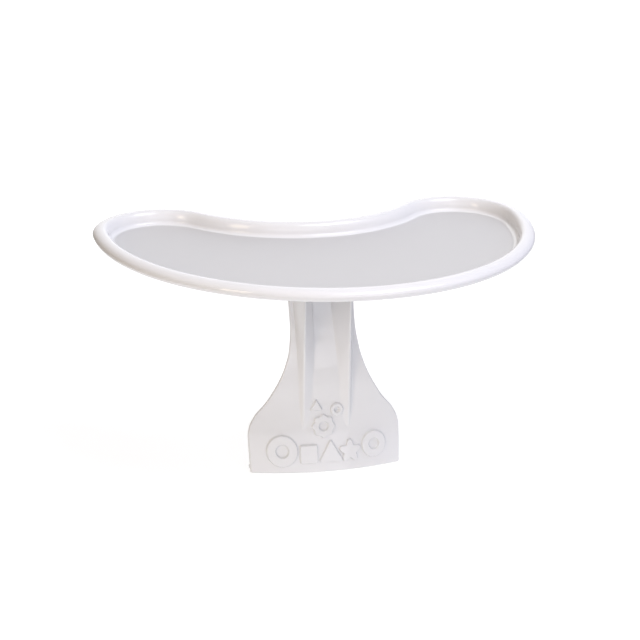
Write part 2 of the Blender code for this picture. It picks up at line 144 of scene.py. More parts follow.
LIP_EDGE = 0.0014           # rounding of its free edge
LIP_FILLET = 0.002          # between the lip's top face and the plate
LIP_STEPS = 60
LIP_CORNER_POINTS = 8
LIP_EDGE_RINGS = 11
PLATE_CORNER = 0.001
# Side view of the stem's middle line, and half width of the stem: (height, value), joined by a smooth curve
MIDDLE_LINE = [(-0.002, -0.0081), (0.020, -0.0018), (0.043, 0.0040), (0.067, 0.0077), (0.092, 0.0103),
               (0.115, 0.0150), (0.136, 0.0235), (0.158, 0.0327), (0.185, 0.0405), (0.212, 0.0440)]
HALF_WIDTH = [(0.0, 0.0752), (0.034, 0.0762), (0.043, 0.0749), (0.055, 0.0692), (0.067, 0.0592),
              (0.080, 0.0509), (0.092, 0.0444), (0.104, 0.0394), (0.120, 0.0348), (0.142, 0.0323),
              (0.165, 0.0325), (0.212, 0.0355)]

# Raised ornament on the foot plate: play shapes as (kind, X, height of the middle, size, radius of a hole).
# The size is the outer radius of a ring, flower or star, and for the others the distance from the middle to
# the middle of a side.
ORNAMENT_RISE = 0.0022
ORNAMENT_SHOULDER = 0.0011  # width of the soft shoulder
ORNAMENT_LEAN = 1.03        # the rise along Y, since the plate leans
SQUARE_SHARPNESS = 9
TRIANGLE_SHARPNESS = 7
STAR_DEPTH = 0.2
FLOWER_DEPTH = 0.07
ORNAMENT = [("ring", -0.0445, 0.0215, 0.0150, 0.0062), ("square", -0.0185, 0.0180, 0.0088, 0.0),
            ("triangle", 0.0035, 0.0170, 0.0072, 0.0), ("star", 0.0230, 0.0185, 0.0112, 0.0),
            ("ring", 0.0480, 0.0225, 0.0125, 0.0052), ("flower", -0.0030, 0.0445, 0.0115, 0.0046),
            ("ring", 0.0105, 0.0600, 0.0062, 0.0026), ("triangle", -0.0100, 0.0640, 0.0036, 0.0)]

# Head flange, socket and screws
FLANGE_HALF_WIDTH = 0.050
FLANGE_FRONT = 0.005
FLANGE_BACK = 0.0505
FLANGE_THICKNESS = 0.0035
FLANGE_TOP = STEM_HIGH[2]
FLANGE_BOTTOM = FLANGE_TOP - FLANGE_THICKNESS
FLANGE_CORNER = 0.006
FLANGE_EDGE = 0.0006        # rounding of its edges
CORNER_SEGMENTS = 10
JOINT_GAP = 0.0003          # between two pieces that touch
SOCKET_GAP = 0.0004         # all round, between the head flange and the socket wall
SOCKET_WALL = 0.0024
SOCKET_ROUND = 0.0005       # rounding of the wall's free edge
INTO_FLOOR = FLOOR_BOTTOM + WALL / 2
FLOOR_FILLET = 0.0012       # of the socket wall and the bosses under the floor
FILLET_STEPS = 5
ROUND_SHARE = 0.3           # place of the middle point of a rounded edge, as a share of its radius
BOSS_RADIUS = 0.0046
BOSS_BOTTOM = FLANGE_TOP + JOINT_GAP
BOSS_BEVEL = 0.0004
PILOT_RADIUS = 0.0019
PILOT_BEVEL = 0.0003
PILOT_SHORT = 0.0004        # how far the pilot hole ends under the floor
PILOT_TOP = FLOOR_BOTTOM - PILOT_SHORT
CLEARANCE_RADIUS = 0.0022
CUTTER_OVERRUN = 0.001      # how far a cutting solid runs past the face that it opens
HOLE_SIDES = 40
HEAD_HEIGHT = 0.0024
HEAD_DOME = 0.62            # domed part of the head's height
HEAD_BEVEL = 0.0002
HEAD_SEGMENTS = 10
THREAD_ROOT = 0.00125
THREAD_CREST = 0.0016
THREAD_PITCH = 0.0012
THREAD = [(THREAD_ROOT, 0.0), (THREAD_CREST, 0.42), (THREAD_CREST, 0.5), (THREAD_ROOT, 0.92)]   # in a pitch
THREAD_START = 0.0008       # over the head
THREAD_LEFT_OUT = 0.003     # plain length, under the thread and at the point
POINT_RADIUS = 0.0004
SCREW_SIDES = 48
RECESS_HALF_SPAN = 0.0021
RECESS_HALF_WIDTH = 0.0005
RECESS_DEPTH = 0.0014
RECESS_MOUTH = 1.05         # size of the cross below the head's face, and at the recess's end
RECESS_END = 0.72
RECESS_OVERRUN = 0.0005
LEAST_RADIUS = 0.00002      # of a turned solid, on its axis

# ---- Camera --------------------------------------------------------------------------------------
CAMERA_AZIMUTH = -13.34     # degrees
CAMERA_ELEVATION = 20.0
CAMERA_ROLL = 1.15
CAMERA_DISTANCE = 1.622     # from the middle of the rim
CAMERA_AIM_RIGHT = 0.0106
CAMERA_AIM_UP = 0.0677
SENSOR = 36.0               # millimetres
LENS = 96.9

# ---- Light ---------------------------------------------------------------------------------------
FLOOR_GLOW = 0.71           # under the object, and far behind it
FLOOR_GLOW_FAR = 1.05
FLOOR_WHITE = 0.42
FLOOR_GREY = 0.40
SHEET_NEAR = 0.34           # how far the white sheet reaches in front of the object's middle, and behind it
SHEET_FAR = 3.2
SHEET_NEAR_WIDTH = 0.29     # half widths there
SHEET_FAR_WIDTH = 0.95
SHEET_FADE = 0.12
# Surround: above, low in front, on the left, on the right, and low at the back
SKY = (0.84, 0.84, 0.86, 1)
SKY_FRONT = (0.26, 0.26, 0.27, 1)
SKY_LEFT = (0.15, 0.12, 0.09, 1)
SKY_RIGHT = (0.40, 0.40, 0.50, 1)
SKY_BACK = (1.45, 1.45, 1.47, 1)
WARM_LIGHT = (1.0, 0.84, 0.64)
COOL_LIGHT = (0.93, 0.93, 1.0)
# Each colour comes in between two values of a direction's upward part (UP), part to the back (BACKWARD) or
# part to the right (RIGHTWARD)
SKY_FRONT_UP = (0.55, 0.30)
SKY_FRONT_BACKWARD = (-0.1, -0.7)
SKY_BACK_UP = (0.80, 0.50)
SKY_BACK_BACKWARD = (0.1, 0.7)
SKY_LEFT_RIGHTWARD = (0.20, -0.55)
SKY_RIGHT_RIGHTWARD = (0.2, 0.8)
LAMP_AIM = Vector((0, 0, FLOOR_TOP * 0.8))
LAMP_DISTANCE = 2.0
# Name, azimuth and elevation in degrees, width and height in metres, power in watts, and colour
LAMPS = [("left_strip", -52, 18, (0.50, 1.30), 10.0, WARM_LIGHT),
         ("front_card", -4, 12, (2.0, 1.0), 9.5, COOL_LIGHT),
         ("right_key", 46, 60, (1.2, 1.0), 22.5, COOL_LIGHT)]
STUDIO_FLOOR_HALF_SIZE = 6.0
STUDIO_FLOOR_GAP = 0.0002   # under the hook lip
STUDIO_FLOOR_ROUGHNESS = 0.9


# ---- Small helpers -------------------------------------------------------------------------------
def smooth_curve(points, at):
    """Values on the monotone cubic through (place, value) points, for an array of places."""
    places = np.array([p[0] for p in points])
    values = np.array([p[1] for p in points])
    steps = np.diff(places)
    slopes = np.diff(values) / steps
    tangents = np.empty_like(values)
    tangents[0], tangents[-1] = slopes[0], slopes[-1]
    product = slopes[:-1] * slopes[1:]
    total = slopes[:-1] + slopes[1:]
    tangents[1:-1] = np.where(product > 0, 2 * product / np.where(total == 0, 1, total), 0)
    at = np.asarray(at, float)
    i = np.clip(np.searchsorted(places, at) - 1, 0, len(steps) - 1)
    t = (at - places[i]) / steps[i]
    return (values[i] * (2 * t ** 3 - 3 * t ** 2 + 1) + tangents[i] * steps[i] * (t ** 3 - 2 * t ** 2 + t)
            + values[i + 1] * (3 * t ** 2 - 2 * t ** 3) + tangents[i + 1] * steps[i] * (t ** 3 - t ** 2))


def new_object(name, vertices, faces):
    """A smooth-shaded object with outward normals, linked to the scene."""
    mesh = bpy.data.meshes.new(name)
    mesh.from_pydata([tuple(v) for v in vertices], [], [tuple(f) for f in faces])
    mesh.validate()
    bm = bmesh.new()
    bm.from_mesh(mesh)
    bmesh.ops.recalc_face_normals(bm, faces=bm.faces)
    bm.to_mesh(mesh)
    bm.free()
    mesh.shade_smooth()
    mesh.set_sharp_from_angle(angle=radians(SHARP_ANGLE))
    made = bpy.data.objects.new(name, mesh)
    bpy.context.scene.collection.objects.link(made)
    return made


def ring_faces(rings, length, closed=False):
    """Quads between equal rings of vertices that are numbered one ring after the other."""
    faces = []
    for r in range(rings if closed else rings - 1):
        low, high = r * length, (r + 1) % rings * length
        for i in range(length):
            j = (i + 1) % length
            faces.append((low + i, low + j, high + j, high + i))
    return faces


def loft(name, rings):
    """A closed solid through an array of rings: rings x points x 3."""
    rings = np.asarray(rings)
    count, length = rings.shape[:2]
    faces = ring_faces(count, length)
    faces.append(tuple(range(length - 1, -1, -1)))
    faces.append(tuple(range((count - 1) * length, count * length)))
    return new_object(name, rings.reshape(-1, 3), faces)


def turned(name, profile, x, y, sides):
    """A solid turned about a vertical axis, from (radius, height) points that run from axis to axis."""
    angles = np.linspace(0, 2 * pi, sides, endpoint=False)
    rings = []
    for radius, z in profile:
        radius = max(radius, LEAST_RADIUS)
        rings.append(np.stack([x + radius * np.cos(angles), y + radius * np.sin(angles),
                               np.full(sides, z)], 1))
    return loft(name, rings)


def joined(target, tools, operation="UNION"):
    """Applies a Boolean with each tool, and removes the tools."""
    for tool in tools:
        modifier = target.modifiers.new("join", "BOOLEAN")
        modifier.operation = operation
        modifier.object = tool
        modifier.solver = "EXACT"
    evaluated = target.evaluated_get(bpy.context.evaluated_depsgraph_get())
    mesh = bpy.data.meshes.new_from_object(evaluated)
    target.modifiers.clear()
    target.data = mesh
    mesh.shade_smooth()
    mesh.set_sharp_from_angle(angle=radians(SHARP_ANGLE))
    for tool in tools:
        bpy.data.objects.remove(tool, do_unlink=True)
    return target


def arc(centre, reach, start, end, segments):
    angles = np.linspace(start, end, segments + 1)
    return np.stack([centre[0] + reach[0] * np.cos(angles), centre[1] + reach[1] * np.sin(angles)], 1)


def rounded_rectangle(half_width, front, back, corner):
    centres = [(half_width - corner, back - corner), (corner - half_width, back - corner),
               (corner - half_width, front + corner), (half_width - corner, front + corner)]
    outline = []
    for quarter, centre in enumerate(centres):
        outline.append(arc(centre, (corner, corner), quarter * pi / 2, (quarter + 1) * pi / 2,
                           CORNER_SEGMENTS))
    return np.concatenate(outline)


def at_height(outline, z):
    return np.column_stack([outline, np.full(len(outline), z)])


# ---- Tray ----------------------------------------------------------------------------------------
def outline_stations(spacing):
    """Arc centre, radius, side (+1 bulging, -1 hollow) and angle at stations round the tray's edge."""
    lobe_turn = atan2(REAR_Y - LOBE_Y, -LOBE_X)
    rear_turn = atan2(LOBE_Y - REAR_Y, LOBE_X)
    arcs = [((0, LOBE_Y), FRONT_RADIUS, 1, -pi, -pi / 2),
            ((0, LOBE_Y), FRONT_RADIUS, 1, -pi / 2, 0),
            ((LOBE_X, LOBE_Y), LOBE_RADIUS, 1, 0, pi / 2),
            ((LOBE_X, LOBE_Y), LOBE_RADIUS, 1, pi / 2, lobe_turn),
            ((0, REAR_Y), REAR_RADIUS, -1, rear_turn, -pi / 2),
            ((0, REAR_Y), REAR_RADIUS, -1, -pi / 2, -pi - rear_turn),
            ((-LOBE_X, LOBE_Y), LOBE_RADIUS, 1, pi - lobe_turn, pi / 2),
            ((-LOBE_X, LOBE_Y), LOBE_RADIUS, 1, pi / 2, pi)]
    stations = []
    for centre, radius, side, start, end in arcs:
        count = ceil(abs(end - start) * radius / spacing)
        for i in range(count):
            stations.append((*centre, radius, side, start + (end - start) * i / count))
    return np.array(stations)


def edge_ring(stations, inset, z):
    """A level ring round the tray, at a distance in from its outer edge."""
    x, y, radius, side, angle = stations.T
    reach = radius - side * inset
    return np.stack([x + reach * np.cos(angle), y + reach * np.sin(angle), np.full(len(x), z)], 1)


def rim_section():
    """Inset and height round the rim: up the cove, over the bead, round the curl, back under to the floor."""
    neck = -RIM_NECK_DROP
    rise = RIM_HALF_HEIGHT - neck
    crest = (RIM_CREST, neck)
    cove = arc((RIM_FOOT, neck), (RIM_FOOT - RIM_NECK, FLOOR_DROP + neck), -pi / 2, -pi, COVE_SEGMENTS)
    inner = arc(crest, (RIM_NECK - RIM_CREST, rise), 0, pi / 2, BEAD_SEGMENTS)
    outer = arc((RIM_CREST, 0.0), (RIM_CREST, RIM_HALF_HEIGHT), pi / 2, CURL_END, CURL_SEGMENTS)
    edge = outer[-1]
    hollow_start = edge[0] + CURL_THICKNESS
    middle = np.array([edge[0] + CURL_THICKNESS / 2, edge[1] + CURL_NOSE_RISE])
    curl = arc(middle, (CURL_THICKNESS / 2, CURL_NOSE), CURL_NOSE_START, pi * 2, NOSE_SEGMENTS)
    hollow_outer = arc(crest, (RIM_CREST - hollow_start, rise - WALL), pi, pi / 2, HOLLOW_SEGMENTS)
    hollow_inner = arc(crest, (RIM_NECK - RIM_CREST - WALL, rise - WALL), pi / 2, 0, HOLLOW_SEGMENTS)
    under = arc((RIM_FOOT, neck), (RIM_FOOT - RIM_NECK + WALL, FLOOR_DROP + neck + WALL), pi, pi * 1.5,
                UNDER_SEGMENTS)
    return np.concatenate([cove, inner[1:], outer[1:], curl[1:], hollow_outer, hollow_inner[1:], under[1:]])


def build_tray():
    stations = outline_stations(STATION_SPACING)
    top = [edge_ring(stations, RIM_FOOT + step, FLOOR_TOP) for step in FLOOR_STEPS]
    rim = [edge_ring(stations, inset, RIM_Z + height) for inset, height in rim_section()]
    under = [edge_ring(stations, RIM_FOOT + step, FLOOR_BOTTOM) for step in reversed(FLOOR_STEPS)]
    tray = loft("play_tray", top + rim + under)
    return joined(tray, [build_socket()])


def floor_fillet(reach):
    """Reach and height round the fillet between an upright face and the underside of the floor."""
    points = []
    for i in range(FILLET_STEPS + 1):
        angle = pi / 2 * i / FILLET_STEPS
        points.append((reach + FLOOR_FILLET * (1 - cos(angle)),
                       FLOOR_BOTTOM - FLOOR_FILLET * (1 - sin(angle))))
    return points


def build_socket():
    """The socket wall and the four screw bosses under the floor, as one mesh of five separate solids."""
    def wall_outline(grow):
        return rounded_rectangle(FLANGE_HALF_WIDTH + grow, FLANGE_FRONT - grow, FLANGE_BACK + grow,
                                 FLANGE_CORNER + grow)

    inside, outside = SOCKET_GAP, SOCKET_GAP + SOCKET_WALL
    near = SOCKET_ROUND * ROUND_SHARE
    section = [(inside, FLANGE_BOTTOM + SOCKET_ROUND), (inside + near, FLANGE_BOTTOM + near),
               (inside + SOCKET_ROUND, FLANGE_BOTTOM), (outside - SOCKET_ROUND, FLANGE_BOTTOM),
               (outside - near, FLANGE_BOTTOM + near), (outside, FLANGE_BOTTOM + SOCKET_ROUND)]
    section += floor_fillet(outside)
    section += [(outside + FLOOR_FILLET, INTO_FLOOR), (inside, INTO_FLOOR)]
    rings = np.array([at_height(wall_outline(grow), z) for grow, z in section])
    count, length = rings.shape[:2]
    socket = new_object("socket", rings.reshape(-1, 3), ring_faces(count, length, closed=True))
    bosses = []
    for name, x, y in screw_places():
        profile = [(0.0, PILOT_TOP), (PILOT_RADIUS, PILOT_TOP),
                   (PILOT_RADIUS, BOSS_BOTTOM + PILOT_BEVEL), (PILOT_RADIUS + PILOT_BEVEL, BOSS_BOTTOM),
                   (BOSS_RADIUS - BOSS_BEVEL, BOSS_BOTTOM), (BOSS_RADIUS, BOSS_BOTTOM + BOSS_BEVEL)]
        profile += floor_fillet(BOSS_RADIUS)
        profile += [(BOSS_RADIUS + FLOOR_FILLET, INTO_FLOOR), (0.0, INTO_FLOOR)]
        bosses.append(turned(f"boss_{name}", profile, x, y, HOLE_SIDES))
    with bpy.context.temp_override(active_object=socket, selected_editable_objects=[socket, *bosses]):
        bpy.ops.object.join()
    return socket


# ---- Stem ----------------------------------------------------------------------------------------
def sheet_y(x, z):
    """Y of the stem's front face without its ribs."""
    return smooth_curve(MIDDLE_LINE, z) + PLAN_RADIUS - np.sqrt(PLAN_RADIUS ** 2 - x ** 2)


def soft_positive(value, softness):
    """A maximum with zero that turns smoothly."""
    return (value + np.sqrt(value ** 2 + softness ** 2)) / 2


def rib_shape(x, z):
    """How far the ribs stand out in front of the sheet, and how far their hollows follow behind it."""
    crest_y = RIB_CREST_FOOT + RIB_CREST_LEAN * z
    height = np.maximum(sheet_y(RIB_X, z) - crest_y, RIB_LEAST_HEIGHT)
    base = RIB_HALF_BASE * (1 - np.exp(-height / RIB_GROWTH)) + RIB_FLARE * height + RIB_LEAST_BASE
    inner_slope = height / (base * RIB_INNER_SHARE)
    outer_slope = height / (base * RIB_OUTER_SHARE)
    outward = np.abs(x) - RIB_X
    foot = RIB_FOOT_SOFTNESS * height / (height + RIB_FOOT_GROWTH)

    def ridge(inner_drop, outer_drop, crest_round):
        """Two faces that meet in a rounded crest."""
        inner = inner_slope * outward - inner_drop
        outer = -outer_slope * outward - outer_drop
        rounding = crest_round * (inner_slope + outer_slope)
        return height + (inner + outer - np.sqrt((inner - outer) ** 2 + rounding ** 2) + rounding) / 2

    inner_drop = WALL * (np.sqrt(1 + inner_slope ** 2) - 1)
    outer_drop = WALL * (np.sqrt(1 + outer_slope ** 2) - 1)
    rest = soft_positive(-height * RIB_REST_SLOPE, foot)
    front = soft_positive(ridge(0, 0, CREST_ROUND), foot) - rest
    hollow = soft_positive(ridge(inner_drop, outer_drop, HOLLOW_ROUND), foot * RIB_BACK_SOFTNESS)
    back = hollow - rest * RIB_BACK_SOFTNESS
    return np.minimum(front, height), np.maximum(back, 0)


def rounded_polygon(sides, reach, sharpness, turn):
    """Polar radius of a soft-cornered regular polygon; reach is from its middle to the middle of a side."""
    def radius(angle):
        total = 0
        for i in range(sides):
            total = total + np.maximum(np.cos(angle - turn - 2 * pi * i / sides), 0) ** sharpness
        return reach / total ** (1 / sharpness)
    return radius


def petals(count, reach, depth, turn):
    """Polar radius of a wavy ring; reach is from its middle to the tip of a wave."""
    return lambda angle: reach * (1 - depth + depth * np.cos(count * (angle - turn)))


SHAPES = {"ring": lambda size: lambda angle: size + 0 * angle,
          "square": lambda size: rounded_polygon(4, size, SQUARE_SHARPNESS, 0.0),
          "triangle": lambda size: rounded_polygon(3, size, TRIANGLE_SHARPNESS, -pi / 2),
          "star": lambda size: petals(5, size, STAR_DEPTH, pi / 2),
          "flower": lambda size: petals(8, size, FLOWER_DEPTH, pi / 2)}


def raised(x, z):
    """Height of the raised shapes over the plate, with soft shoulders."""
    rise = np.zeros_like(x)
    for kind, centre_x, centre_z, size, hole in ORNAMENT:
        across, up = x - centre_x, z - centre_z
        distance = np.hypot(across, up)
        inside = SHAPES[kind](size)(np.arctan2(up, across)) - distance
        if hole:
            inside = np.minimum(inside, distance - hole)
        t = np.clip(inside / ORNAMENT_SHOULDER + 0.5, 0, 1)
        rise = np.maximum(rise, t * t * (3 - 2 * t))
    return rise * ORNAMENT_RISE


def stem_rings():
    """Level rings round the stem's wall, from the foot plate's bottom edge up to the head flange."""
    coarse = 1
    corner = PLATE_CORNER
    low = np.concatenate([corner * (1 - np.cos(np.linspace(0, pi / 2, CORNER_RINGS))),
                          np.arange(corner + FINE_SPACING, FINE_TOP, FINE_SPACING * coarse)])
    high = np.linspace(COARSE_BOTTOM, STEM_TOP, COARSE_RINGS // coarse)
    heights = np.concatenate([low, high])
    front_share = np.linspace(0, 1, FRONT_POINTS // coarse)
    back_share = np.linspace(0, 1, BACK_POINTS // coarse)
    rings = []
    for z in heights:
        edge = float(smooth_curve(HALF_WIDTH, z))
        if z < corner:
            edge -= corner - sqrt(max(corner ** 2 - (corner - z) ** 2, 0))
        turn_in = corner - sqrt(max(corner ** 2 - max(corner - z, 0) ** 2, 0))
        last = edge - EDGE_ROUND
        x_front = last * front_share
        x_back = last * back_share
        front_rib = rib_shape(x_front, z)[0]
        back_rib = rib_shape(x_back, z)[1]
        y_front = sheet_y(x_front, z) - front_rib + turn_in
        thickness = WALL
        over_lip = z - LIP_TOP
        if 0 < over_lip < LIP_FILLET:
            thickness += LIP_FILLET - sqrt(LIP_FILLET ** 2 - (LIP_FILLET - over_lip) ** 2)
        y_back = sheet_y(x_back, z) + thickness - back_rib
        slant = last / sqrt(PLAN_RADIUS ** 2 - last ** 2)
        along = np.array([1, slant]) / sqrt(1 + slant ** 2)
        inward = np.array([-along[1], along[0]])
        front_centre = np.array([x_front[-1], y_front[-1]]) + inward * EDGE_ROUND
        back_centre = np.array([x_back[-1], y_back[-1]]) - inward * EDGE_ROUND
        turns = np.linspace(0, pi / 2, EDGE_POINTS)[1:]
        front_arc = [front_centre - inward * EDGE_ROUND * cos(a) + along * EDGE_ROUND * sin(a)
                     for a in turns]
        back_arc = [back_centre + inward * EDGE_ROUND * cos(a) + along * EDGE_ROUND * sin(a)
                    for a in turns[::-1]]
        half_front = np.column_stack([x_front, y_front])
        right = np.concatenate([half_front, front_arc, back_arc, np.column_stack([x_back, y_back])[::-1]])
        left = right[::-1][1:-1] * [-1, 1]
        ring = np.concatenate([right, left])
        rings.append(at_height(ring, z))
    rings = np.array(rings)
    front_count = len(front_share)
    length = rings.shape[1]
    on_front = np.zeros(length, bool)
    on_front[:front_count] = True
    on_front[length - front_count + 1:] = True
    x, z = rings[:, :, 0], rings[:, :, 2]
    lift = raised(x, z) * on_front
    rings[:, :, 1] -= lift * ORNAMENT_LEAN
    return rings


def build_lip():
    """The hook lip: a strip that follows the plate's curve, with a rounded free edge."""
    corner = LIP_CORNER
    x = np.linspace(-1, 1, LIP_STEPS + 1)
    front = np.column_stack([x * LIP_HALF_WIDTH, sheet_y(x * LIP_HALF_WIDTH, 0.0) + LIP_ROOT])
    x_back = x[::-1] * (LIP_HALF_WIDTH - corner)
    back = np.column_stack([x_back, sheet_y(x_back, 0.0) + WALL + LIP_DEPTH])
    angles = np.linspace(0, pi / 2, LIP_CORNER_POINTS)[:-1]
    right = np.column_stack([LIP_HALF_WIDTH - corner + corner * np.cos(angles),
                             back[0, 1] - corner + corner * np.sin(angles)])
    left = right[::-1] * [-1, 1]
    outline = np.concatenate([front, right, back, left])
    middle = np.array([0.0, float(sheet_y(0.0, 0.0)) + LIP_MIDDLE])
    rings = []
    for angle in np.linspace(-pi / 2, pi / 2, LIP_EDGE_RINGS):
        inset = LIP_EDGE * (1 - cos(angle))
        z = (LIP_EDGE if angle < 0 else LIP_TOP - LIP_EDGE) + LIP_EDGE * sin(angle)
        inward = np.sign(middle - outline) * inset
        inward[:LIP_STEPS + 1, 1] = 0
        rings.append(at_height(outline + inward, z))
    return loft("lip", rings)


def build_flange():
    """The head flange, a flat plate with rounded corners and edges."""
    edge, near = FLANGE_EDGE, FLANGE_EDGE * ROUND_SHARE
    rings = []
    for inset, z in [(edge, FLANGE_BOTTOM), (near, FLANGE_BOTTOM + near), (0, FLANGE_BOTTOM + edge),
                     (0, FLANGE_TOP - edge), (near, FLANGE_TOP - near), (edge, FLANGE_TOP)]:
        rings.append(at_height(rounded_rectangle(FLANGE_HALF_WIDTH - inset, FLANGE_FRONT + inset,
                                                 FLANGE_BACK - inset, FLANGE_CORNER - inset), z))
    return loft("flange", rings)


def build_stem():
    stem = loft("stem_moulding", stem_rings())
    joined(stem, [build_lip(), build_flange()])
    low, high = FLANGE_BOTTOM - CUTTER_OVERRUN, FLANGE_TOP + CUTTER_OVERRUN
    profile = [(0.0, low), (CLEARANCE_RADIUS, low), (CLEARANCE_RADIUS, high), (0.0, high)]
    holes = [turned(f"hole_{name}", profile, x, y, HOLE_SIDES) for name, x, y in screw_places()]
    return joined(stem, holes, "DIFFERENCE")


# ---- Screws --------------------------------------------------------------------------------------
def screw_places():
    """Name and middle of each screw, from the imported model."""
    places = []
    for name in sorted(frame["nodes"]):
        if name.startswith("screw_"):
            low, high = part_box(name)
            places.append((name[len("screw_"):], (low[0] + high[0]) / 2, (low[1] + high[1]) / 2))
    return places


def build_screw(name, x, y):
    """A pan-head screw with a cross recess and a real thread, pointing up."""
    low, high = SCREW_LOW[2], SCREW_HIGH[2]
    head_radius = (SCREW_HIGH[0] - SCREW_LOW[0]) / 2
    head_top = low + HEAD_HEIGHT
    dome_height = HEAD_HEIGHT * HEAD_DOME
    dome = arc((0, low + dome_height), (head_radius, dome_height), -pi / 2, 0, HEAD_SEGMENTS)
    profile = [tuple(p) for p in dome]
    profile += [(head_radius, head_top - HEAD_BEVEL), (head_radius - HEAD_BEVEL, head_top),
                (THREAD_ROOT, head_top)]
    z = head_top + THREAD_START
    for _ in range(int((high - low - HEAD_HEIGHT - THREAD_LEFT_OUT) / THREAD_PITCH)):
        profile += [(radius, z + THREAD_PITCH * share) for radius, share in THREAD]
        z += THREAD_PITCH
    profile += [(THREAD_ROOT, z), (POINT_RADIUS, high), (0.0, high)]
    screw = turned(f"{name}_screw", profile, x, y, SCREW_SIDES)
    wide, narrow = RECESS_HALF_SPAN, RECESS_HALF_WIDTH
    cross = np.array([(wide, narrow), (narrow, narrow), (narrow, wide), (-narrow, wide), (-narrow, narrow),
                      (-wide, narrow), (-wide, -narrow), (-narrow, -narrow), (-narrow, -wide),
                      (narrow, -wide), (narrow, -narrow), (wide, -narrow)])
    recess = loft("recess", [at_height(cross * RECESS_MOUTH + [x, y], low - RECESS_OVERRUN),
                             at_height(cross * RECESS_END + [x, y], low + RECESS_DEPTH)])
    return joined(screw, [recess], "DIFFERENCE")


# ---- Finishes ------------------------------------------------------------------------------------
TRAY_WHITE = 0.83
# painted shade: the stem is the tray's plastic, given a darker white for the light that it misses
STEM_SHADED_WHITE = 0.75
# painted shade: the grey of the tray floor's upward faces, darker than the rim's same plastic, for the light
# that they miss
FLOOR_PAINTED_SHADE = (0.615, 0.614, 0.616, 1)
CLOUD_DEPTH = 0.025         # how much darker the plastic is where it's cloudy
CLOUD_BLUE = 0.015          # and how much the blue stands out
CLOUD_SCALE = 9.0
CLOUD_CONTRAST = (0.35, 0.65)
GLOSS_SCALE = 45.0
GLOSS_RANGE = (0.07, 0.12)  # roughness of the plastic
FLOOR_ROUGHNESS = 0.36      # more than that on the tray's floor
PEEL_SCALE = 260.0
PEEL_HEIGHT = 0.00004
GRAIN_SCALE = 2600.0
GRAIN_HEIGHT = 0.00006
HAIR_STRETCH = (22.0, 900.0, 22.0)
HAIR_TURN = 24
HAIR_CONTRAST = (0.66, 0.74)
HAIR_ROUGHNESS = 0.05
FLOOR_FADE = (0.00002, 0.00022)     # over the tray's floor, where its texture and its painted shade end
FLOOR_FACING = (0.90, 0.97)         # least upward part of the normal there
PLASTIC_IOR = 1.5
STEEL_DARK = (0.50, 0.50, 0.52, 1)
STEEL_LIGHT = (0.66, 0.66, 0.64, 1)
STEEL_GLOSS = (0.24, 0.42)
BLOTCH_SCALE = 700.0
STEEL_GRAIN = 3000.0
STEEL_GRAIN_HEIGHT = 0.00002


class Nodes:
    """A short way to write a material's node tree."""

    def __init__(self, name):
        self.material = bpy.data.materials.new(name)
        self.material.use_nodes = True
        self.tree = self.material.node_tree
        self.shader = self.tree.nodes["Principled BSDF"]

    def add(self, kind, inputs=None, **settings):
        node = self.tree.nodes.new(kind)
        for key, value in settings.items():
            setattr(node, key, value)
        for key, value in (inputs or {}).items():
            self.link(value, node.inputs[key])
        return node

    def link(self, value, socket):
        if isinstance(value, bpy.types.NodeSocket):
            self.tree.links.new(value, socket)
        else:
            socket.default_value = value

    def noise(self, vector, scale, detail=2.0):
        node = self.add("ShaderNodeTexNoise", {"Vector": vector, "Scale": scale, "Detail": detail})
        return node.outputs["Fac"]

    def spread(self, value, low, high, from_low=0.0, from_high=1.0):
        node = self.add("ShaderNodeMapRange", {"Value": value, "From Min": from_low, "From Max": from_high,
                                               "To Min": low, "To Max": high})
        return node.outputs["Result"]

    def mix(self, factor, low, high):
        node = self.add("ShaderNodeMix", {"Factor": factor, "A": low, "B": high}, data_type="RGBA")
        return node.outputs["Result"]

    def math(self, operation, *values):
        node = self.add("ShaderNodeMath", operation=operation)
        for i, value in enumerate(values):
            self.link(value, node.inputs[i])
        return node.outputs[0]


